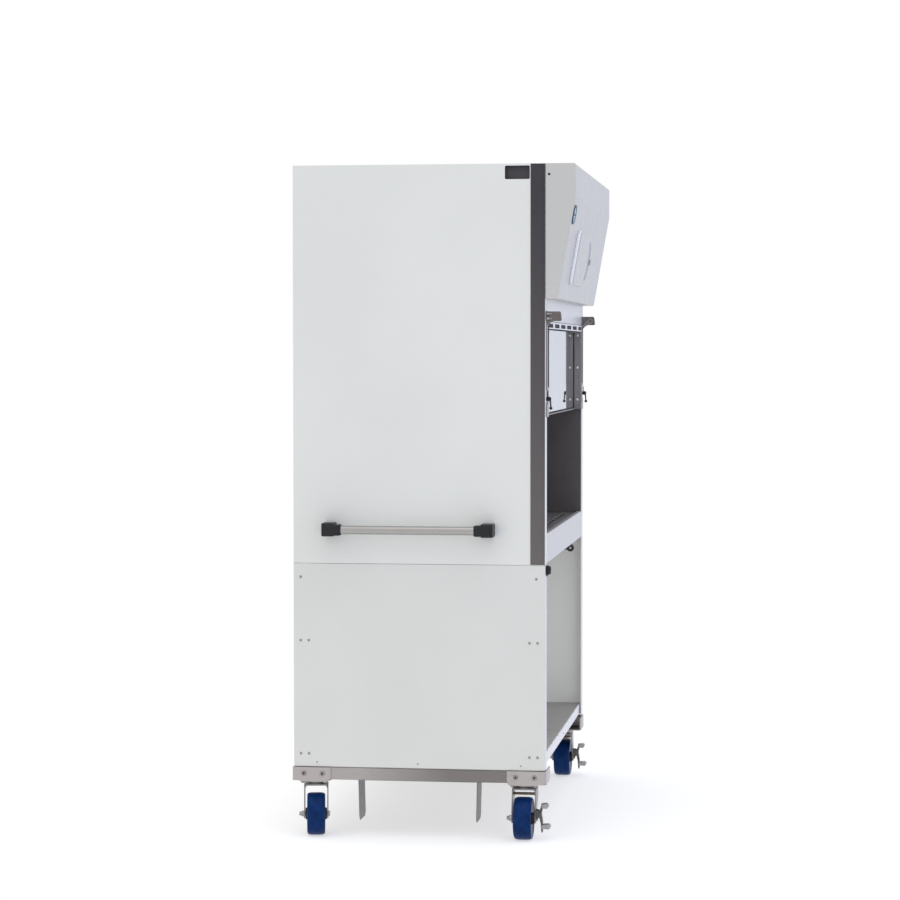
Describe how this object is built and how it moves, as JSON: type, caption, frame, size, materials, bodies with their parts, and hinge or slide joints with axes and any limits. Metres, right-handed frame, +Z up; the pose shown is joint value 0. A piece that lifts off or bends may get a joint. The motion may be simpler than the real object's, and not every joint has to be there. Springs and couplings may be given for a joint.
{
  "type": "mobile filtered fume hood",
  "caption": "White sheet-metal filtered fume hood on an open-fronted stand with swivel casters, a top-hinged glazed sash, an overhanging blower head, side push handles and a stainless base.",
  "frame": {"origin": "on the floor under the centre of the object's bounding box", "axes": "+X to the right seen from the front, -Y out of the front (towards the operator), +Z up"},
  "size_m": [1.408, 0.851, 2.005],
  "materials": {
    "white_paint": "semi-gloss powder coat",
    "stainless": "brushed",
    "dark_strip": "satin anodised",
    "black_plastic": "moulded",
    "blue_tread": "smooth moulded polyurethane",
    "glass": "clear polished",
    "filter_media": "pleated",
    "zinc": "zinc plated",
    "grey_plastic": "moulded",
    "lamp_white": "diffuse"
  },
  "bodies": {
    "cabinet": {"base_frame": "stainless", "blower_mount": "zinc", "chamber_liner": "stainless", "control_panel": "white_paint", "corner_plate_front_left": "stainless", "corner_plate_front_right": "stainless", "corner_plate_rear_left": "stainless", "corner_plate_rear_right": "stainless", "drain_valve_body": "zinc", "exhaust_filter": "filter_media", "fork_guide_left": "zinc", "fork_guide_right": "zinc", "front_sill": "white_paint", "handle_bracket_front_left": "black_plastic", "handle_bracket_front_right": "black_plastic", "handle_bracket_rear_left": "black_plastic", "handle_bracket_rear_right": "black_plastic", "head_housing": "white_paint", "header_panel": "white_paint", "lower_back_panel": "white_paint", "lower_shelf": "white_paint", "lower_side_panel_left": "white_paint", "lower_side_panel_right": "white_paint", "power_inlet": "black_plastic", "pressure_gauge": "grey_plastic", "sash_hinge_left": "stainless", "sash_hinge_right": "stainless", "side_handle_left": "stainless", "side_handle_right": "stainless", "supply_filter": "filter_media", "top_panel": "white_paint", "trim_strip_left": "dark_strip", "trim_strip_right": "dark_strip", "upper_back_panel": "white_paint", "upper_side_panel_left": "white_paint", "upper_side_panel_right": "white_paint", "work_lamp": "lamp_white", "work_tray": "stainless"},
    "swivel_front_left": {"caster_fork_front_left": "stainless", "caster_axle_front_left": "zinc"},
    "wheel_front_left": {"caster_wheel_front_left": "blue_tread"},
    "swivel_front_right": {"caster_fork_front_right": "stainless", "caster_axle_front_right": "zinc"},
    "wheel_front_right": {"caster_wheel_front_right": "blue_tread"},
    "swivel_rear_left": {"caster_fork_rear_left": "stainless", "caster_axle_rear_left": "zinc"},
    "wheel_rear_left": {"caster_wheel_rear_left": "blue_tread"},
    "swivel_rear_right": {"caster_fork_rear_right": "stainless", "caster_axle_rear_right": "zinc"},
    "wheel_rear_right": {"caster_wheel_rear_right": "blue_tread"},
    "brake_front_left": {"brake_lever_front_left": "zinc"},
    "brake_front_right": {"brake_lever_front_right": "zinc"},
    "sash": {"sash_frame": "stainless", "sash_glass": "glass"},
    "latch_left": {"sash_latch_left": "black_plastic"},
    "latch_right": {"sash_latch_right": "black_plastic"},
    "drain_lever": {"drain_valve_lever": "black_plastic"},
    "service_valve_knob": {"service_knob": "black_plastic"},
    "power_switch_button": {"power_button": "grey_plastic"},
    "impeller": {"blower_wheel": "zinc"}
  },
  "joints": [
    {"name": "swivel_front_left", "type": "hinge", "parent": "cabinet", "child": "swivel_front_left", "pos_m": [-0.5815, -0.2705, 0.15], "axis": [0, 0, 1], "continuous": true},
    {"name": "roll_front_left", "type": "hinge", "parent": "swivel_front_left", "child": "wheel_front_left", "pos_m": [-0.6215, -0.2705, 0.0635], "axis": [0, 1, 0], "continuous": true},
    {"name": "swivel_front_right", "type": "hinge", "parent": "cabinet", "child": "swivel_front_right", "pos_m": [0.5815, -0.2705, 0.15], "axis": [0, 0, 1], "continuous": true},
    {"name": "roll_front_right", "type": "hinge", "parent": "swivel_front_right", "child": "wheel_front_right", "pos_m": [0.6215, -0.2705, 0.0635], "axis": [0, 1, 0], "continuous": true},
    {"name": "swivel_rear_left", "type": "hinge", "parent": "cabinet", "child": "swivel_rear_left", "pos_m": [-0.5815, 0.364, 0.15], "axis": [0, 0, 1], "continuous": true},
    {"name": "roll_rear_left", "type": "hinge", "parent": "swivel_rear_left", "child": "wheel_rear_left", "pos_m": [-0.62089, 0.35705, 0.0635], "axis": [-0.1736, 0.9848, 0], "continuous": true},
    {"name": "swivel_rear_right", "type": "hinge", "parent": "cabinet", "child": "swivel_rear_right", "pos_m": [0.5815, 0.364, 0.15], "axis": [0, 0, 1], "continuous": true},
    {"name": "roll_rear_right", "type": "hinge", "parent": "swivel_rear_right", "child": "wheel_rear_right", "pos_m": [0.6215, 0.364, 0.0635], "axis": [0, 1, 0], "continuous": true},
    {"name": "brake_front_left", "type": "hinge", "parent": "swivel_front_left", "child": "brake_front_left", "pos_m": [-0.6215, -0.319, 0.078], "axis": [1, 0, 0], "range_deg": [0, 12.6]},
    {"name": "brake_front_right", "type": "hinge", "parent": "swivel_front_right", "child": "brake_front_right", "pos_m": [0.6215, -0.319, 0.078], "axis": [1, 0, 0], "range_deg": [0, 12.6]},
    {"name": "sash_lift", "type": "hinge", "parent": "cabinet", "child": "sash", "pos_m": [0, -0.3655, 1.556], "axis": [-1, 0, 0], "range_deg": [0, 85]},
    {"name": "latch_left", "type": "hinge", "parent": "cabinet", "child": "latch_left", "pos_m": [-0.606, -0.3355, 1.311], "axis": [0, 1, 0], "range_deg": [0, 90]},
    {"name": "latch_right", "type": "hinge", "parent": "cabinet", "child": "latch_right", "pos_m": [0.606, -0.3355, 1.311], "axis": [0, -1, 0], "range_deg": [0, 90]},
    {"name": "drain_lever", "type": "hinge", "parent": "cabinet", "child": "drain_lever", "pos_m": [0.4, -0.3165, 0.798], "axis": [-1, 0, 0], "range_deg": [0, 90]},
    {"name": "service_valve_knob", "type": "hinge", "parent": "cabinet", "child": "service_valve_knob", "pos_m": [-0.612, -0.3355, 0.803], "axis": [0, -1, 0], "range_deg": [0, 270]},
    {"name": "power_switch_button", "type": "slide", "parent": "cabinet", "child": "power_switch_button", "axis": [0, 0.9848, 0.1734], "range_m": [0, 0.0025], "stiffness_N_per_m": 600, "springref_m": -0.002},
    {"name": "impeller_spin", "type": "hinge", "parent": "cabinet", "child": "impeller", "pos_m": [0, 0.05, 1.703], "axis": [0, 0, 1], "continuous": true}
  ]
}
